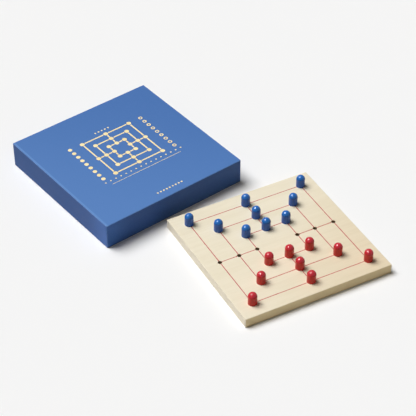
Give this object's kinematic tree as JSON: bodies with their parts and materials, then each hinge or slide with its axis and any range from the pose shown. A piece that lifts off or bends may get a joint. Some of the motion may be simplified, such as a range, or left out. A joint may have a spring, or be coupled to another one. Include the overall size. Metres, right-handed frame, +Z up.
{
  "type": "nine mens morris box",
  "caption": "Square set-up box with a lift-off lid, with its own peg board set out in front: mill diagram with blind holes and domed pegs that lift out.",
  "frame": {"origin": "middle of the tray's underside, on the surface that the box and the board stand on", "axes": "+Z up, +X to the right along the box's front edge, -Y towards the player: the playing board lies there"},
  "size_m": [0.3451, 0.5668, 0.0434],
  "materials": {
    "cover_paper": "matte",
    "lining_paper": "matte",
    "stay_paper": "matte",
    "greyboard": "matte",
    "board_wood": "satin",
    "blue_lacquer": "gloss",
    "red_lacquer": "gloss"
  },
  "bodies": {
    "tray": {"tray_board": "greyboard", "tray_corner_stays": "stay_paper", "tray_wrap": "cover_paper", "tray_liner": "lining_paper"},
    "lid": {"lid_board": "greyboard", "lid_corner_stays": "stay_paper", "lid_wrap": "cover_paper", "lid_liner": "lining_paper"},
    "board": {"playing_board": "board_wood"},
    "blue_man_1": {"blue_man_1": "blue_lacquer"},
    "blue_man_2": {"blue_man_2": "blue_lacquer"},
    "blue_man_3": {"blue_man_3": "blue_lacquer"},
    "blue_man_4": {"blue_man_4": "blue_lacquer"},
    "blue_man_5": {"blue_man_5": "blue_lacquer"},
    "blue_man_6": {"blue_man_6": "blue_lacquer"},
    "blue_man_7": {"blue_man_7": "blue_lacquer"},
    "blue_man_8": {"blue_man_8": "blue_lacquer"},
    "blue_man_9": {"blue_man_9": "blue_lacquer"},
    "red_man_1": {"red_man_1": "red_lacquer"},
    "red_man_2": {"red_man_2": "red_lacquer"},
    "red_man_3": {"red_man_3": "red_lacquer"},
    "red_man_4": {"red_man_4": "red_lacquer"},
    "red_man_5": {"red_man_5": "red_lacquer"},
    "red_man_6": {"red_man_6": "red_lacquer"},
    "red_man_7": {"red_man_7": "red_lacquer"},
    "red_man_8": {"red_man_8": "red_lacquer"},
    "red_man_9": {"red_man_9": "red_lacquer"}
  },
  "joints": [
    {"name": "lid_lift", "type": "slide", "parent": "tray", "child": "lid", "axis": [0, 0, 1], "range_m": [0, 0.12]},
    {"name": "board_lift", "type": "slide", "parent": "tray", "child": "board", "axis": [0, 0, 1], "range_m": [0, 0.06]},
    {"name": "blue_man_1_lift", "type": "slide", "parent": "board", "child": "blue_man_1", "axis": [0, 0, 1], "range_m": [0, 0.03]},
    {"name": "blue_man_2_lift", "type": "slide", "parent": "board", "child": "blue_man_2", "axis": [0, 0, 1], "range_m": [0, 0.03]},
    {"name": "blue_man_3_lift", "type": "slide", "parent": "board", "child": "blue_man_3", "axis": [0, 0, 1], "range_m": [0, 0.03]},
    {"name": "blue_man_4_lift", "type": "slide", "parent": "board", "child": "blue_man_4", "axis": [0, 0, 1], "range_m": [0, 0.03]},
    {"name": "blue_man_5_lift", "type": "slide", "parent": "board", "child": "blue_man_5", "axis": [0, 0, 1], "range_m": [0, 0.03]},
    {"name": "blue_man_6_lift", "type": "slide", "parent": "board", "child": "blue_man_6", "axis": [0, 0, 1], "range_m": [0, 0.03]},
    {"name": "blue_man_7_lift", "type": "slide", "parent": "board", "child": "blue_man_7", "axis": [0, 0, 1], "range_m": [0, 0.03]},
    {"name": "blue_man_8_lift", "type": "slide", "parent": "board", "child": "blue_man_8", "axis": [0, 0, 1], "range_m": [0, 0.03]},
    {"name": "blue_man_9_lift", "type": "slide", "parent": "board", "child": "blue_man_9", "axis": [0, 0, 1], "range_m": [0, 0.03]},
    {"name": "red_man_1_lift", "type": "slide", "parent": "board", "child": "red_man_1", "axis": [0, 0, 1], "range_m": [0, 0.03]},
    {"name": "red_man_2_lift", "type": "slide", "parent": "board", "child": "red_man_2", "axis": [0, 0, 1], "range_m": [0, 0.03]},
    {"name": "red_man_3_lift", "type": "slide", "parent": "board", "child": "red_man_3", "axis": [0, 0, 1], "range_m": [0, 0.03]},
    {"name": "red_man_4_lift", "type": "slide", "parent": "board", "child": "red_man_4", "axis": [0, 0, 1], "range_m": [0, 0.03]},
    {"name": "red_man_5_lift", "type": "slide", "parent": "board", "child": "red_man_5", "axis": [0, 0, 1], "range_m": [0, 0.03]},
    {"name": "red_man_6_lift", "type": "slide", "parent": "board", "child": "red_man_6", "axis": [0, 0, 1], "range_m": [0, 0.03]},
    {"name": "red_man_7_lift", "type": "slide", "parent": "board", "child": "red_man_7", "axis": [0, 0, 1], "range_m": [0, 0.03]},
    {"name": "red_man_8_lift", "type": "slide", "parent": "board", "child": "red_man_8", "axis": [0, 0, 1], "range_m": [0, 0.03]},
    {"name": "red_man_9_lift", "type": "slide", "parent": "board", "child": "red_man_9", "axis": [0, 0, 1], "range_m": [0, 0.03]}
  ]
}
